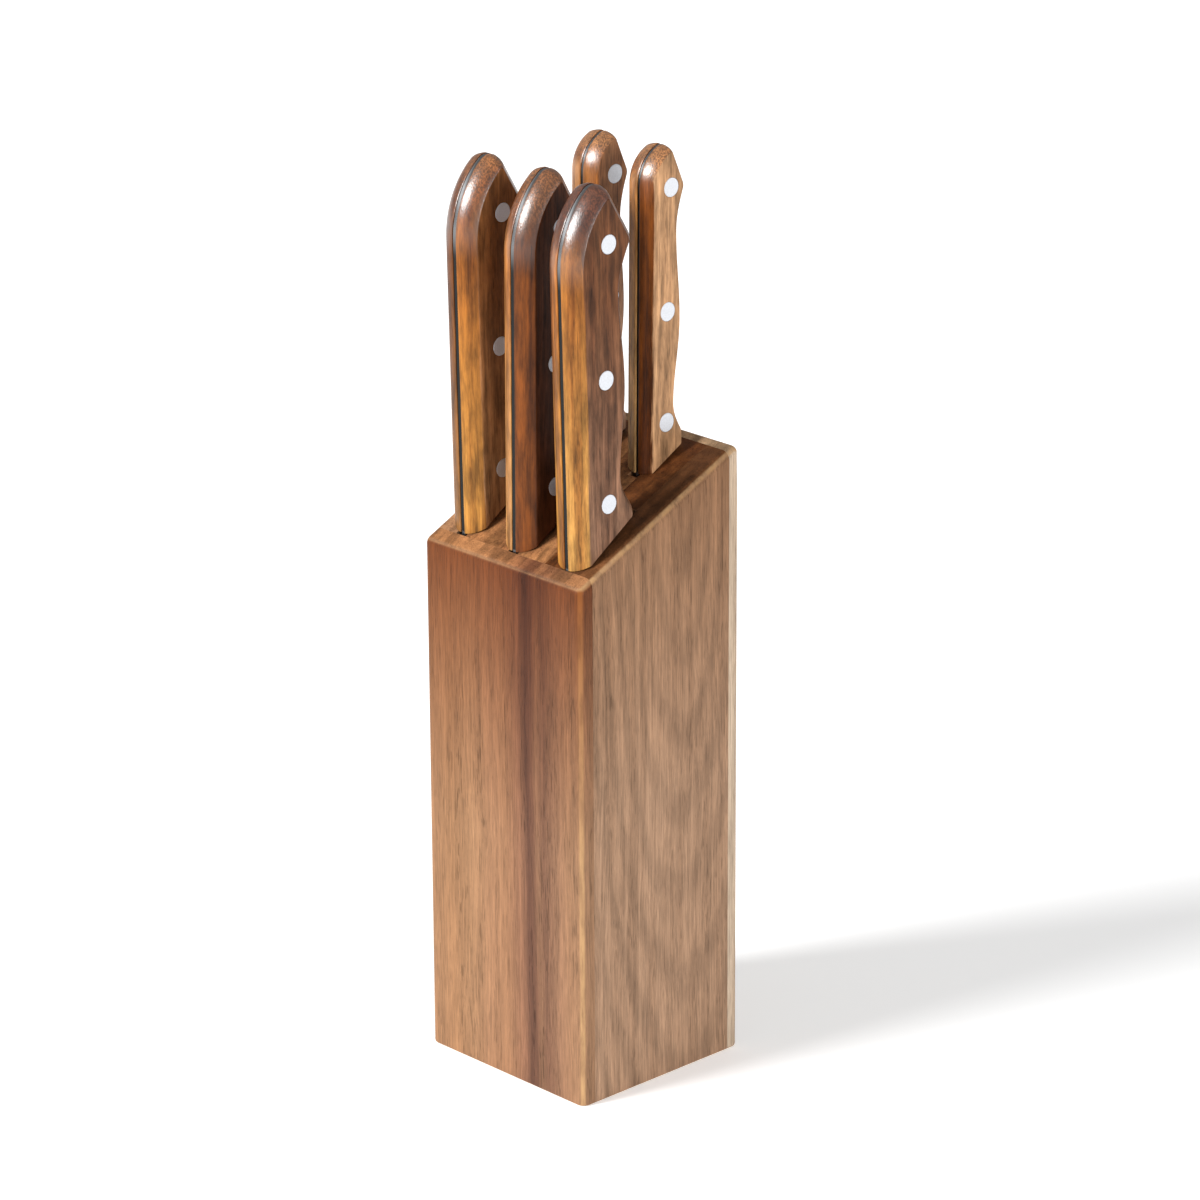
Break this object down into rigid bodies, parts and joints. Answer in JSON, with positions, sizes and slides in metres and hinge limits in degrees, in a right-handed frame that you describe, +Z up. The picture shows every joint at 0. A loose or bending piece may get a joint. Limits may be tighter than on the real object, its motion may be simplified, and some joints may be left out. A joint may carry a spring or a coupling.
{
  "type": "knife block with knives",
  "caption": "Slant-top laminated wooden knife block that holds full-tang kitchen knives with riveted wooden handles upright in narrow slots.",
  "frame": {"origin": "centre of the block's base", "axes": "+Z up, -Y is the low front face that the knife spines face, +Y the high back, +X to the right seen from the front"},
  "size_m": [0.075, 0.0724, 0.313],
  "materials": {
    "front_wood": "satin oiled acacia, vertical stripes",
    "cheek_wood": "satin oiled acacia, arched grain",
    "core_wood": "satin oiled acacia, end grain on top",
    "back_wood": "satin oiled acacia sapwood",
    "handle_wood": "lacquered acacia, glossy",
    "blade_steel": "satin ground stainless steel",
    "rivet_metal": "flush ground aluminium"
  },
  "bodies": {
    "block": {"front_board": "front_wood", "back_board": "back_wood", "left_cheek": "cheek_wood", "left_lamella": "core_wood", "centre_left_lamella": "core_wood", "centre_right_lamella": "core_wood", "right_lamella": "core_wood", "right_cheek": "cheek_wood"},
    "chef_knife": {"chef_blade": "blade_steel", "chef_left_scale": "handle_wood", "chef_right_scale": "handle_wood", "chef_rivet_sleeves": "rivet_metal", "chef_rivet_pins": "rivet_metal"},
    "carving_knife": {"carving_blade": "blade_steel", "carving_left_scale": "handle_wood", "carving_right_scale": "handle_wood", "carving_rivet_sleeves": "rivet_metal", "carving_rivet_pins": "rivet_metal"},
    "bread_knife": {"bread_blade": "blade_steel", "bread_left_scale": "handle_wood", "bread_right_scale": "handle_wood", "bread_rivet_sleeves": "rivet_metal", "bread_rivet_pins": "rivet_metal"},
    "utility_knife": {"utility_blade": "blade_steel", "utility_left_scale": "handle_wood", "utility_right_scale": "handle_wood", "utility_rivet_sleeves": "rivet_metal", "utility_rivet_pins": "rivet_metal"},
    "paring_knife": {"paring_blade": "blade_steel", "paring_left_scale": "handle_wood", "paring_right_scale": "handle_wood", "paring_rivet_sleeves": "rivet_metal", "paring_rivet_pins": "rivet_metal"}
  },
  "joints": [
    {"name": "chef_lift", "type": "slide", "parent": "block", "child": "chef_knife", "axis": [0, -0.0209, 0.9998], "range_m": [0, 0.215]},
    {"name": "carving_lift", "type": "slide", "parent": "block", "child": "carving_knife", "axis": [0, 0.0052, 1], "range_m": [0, 0.205]},
    {"name": "bread_lift", "type": "slide", "parent": "block", "child": "bread_knife", "axis": [0, -0.0262, 0.9997], "range_m": [0, 0.205]},
    {"name": "utility_lift", "type": "slide", "parent": "block", "child": "utility_knife", "axis": [0, 0.0105, 0.9999], "range_m": [0, 0.15]},
    {"name": "paring_lift", "type": "slide", "parent": "block", "child": "paring_knife", "axis": [0, 0.0105, 0.9999], "range_m": [0, 0.115]}
  ]
}
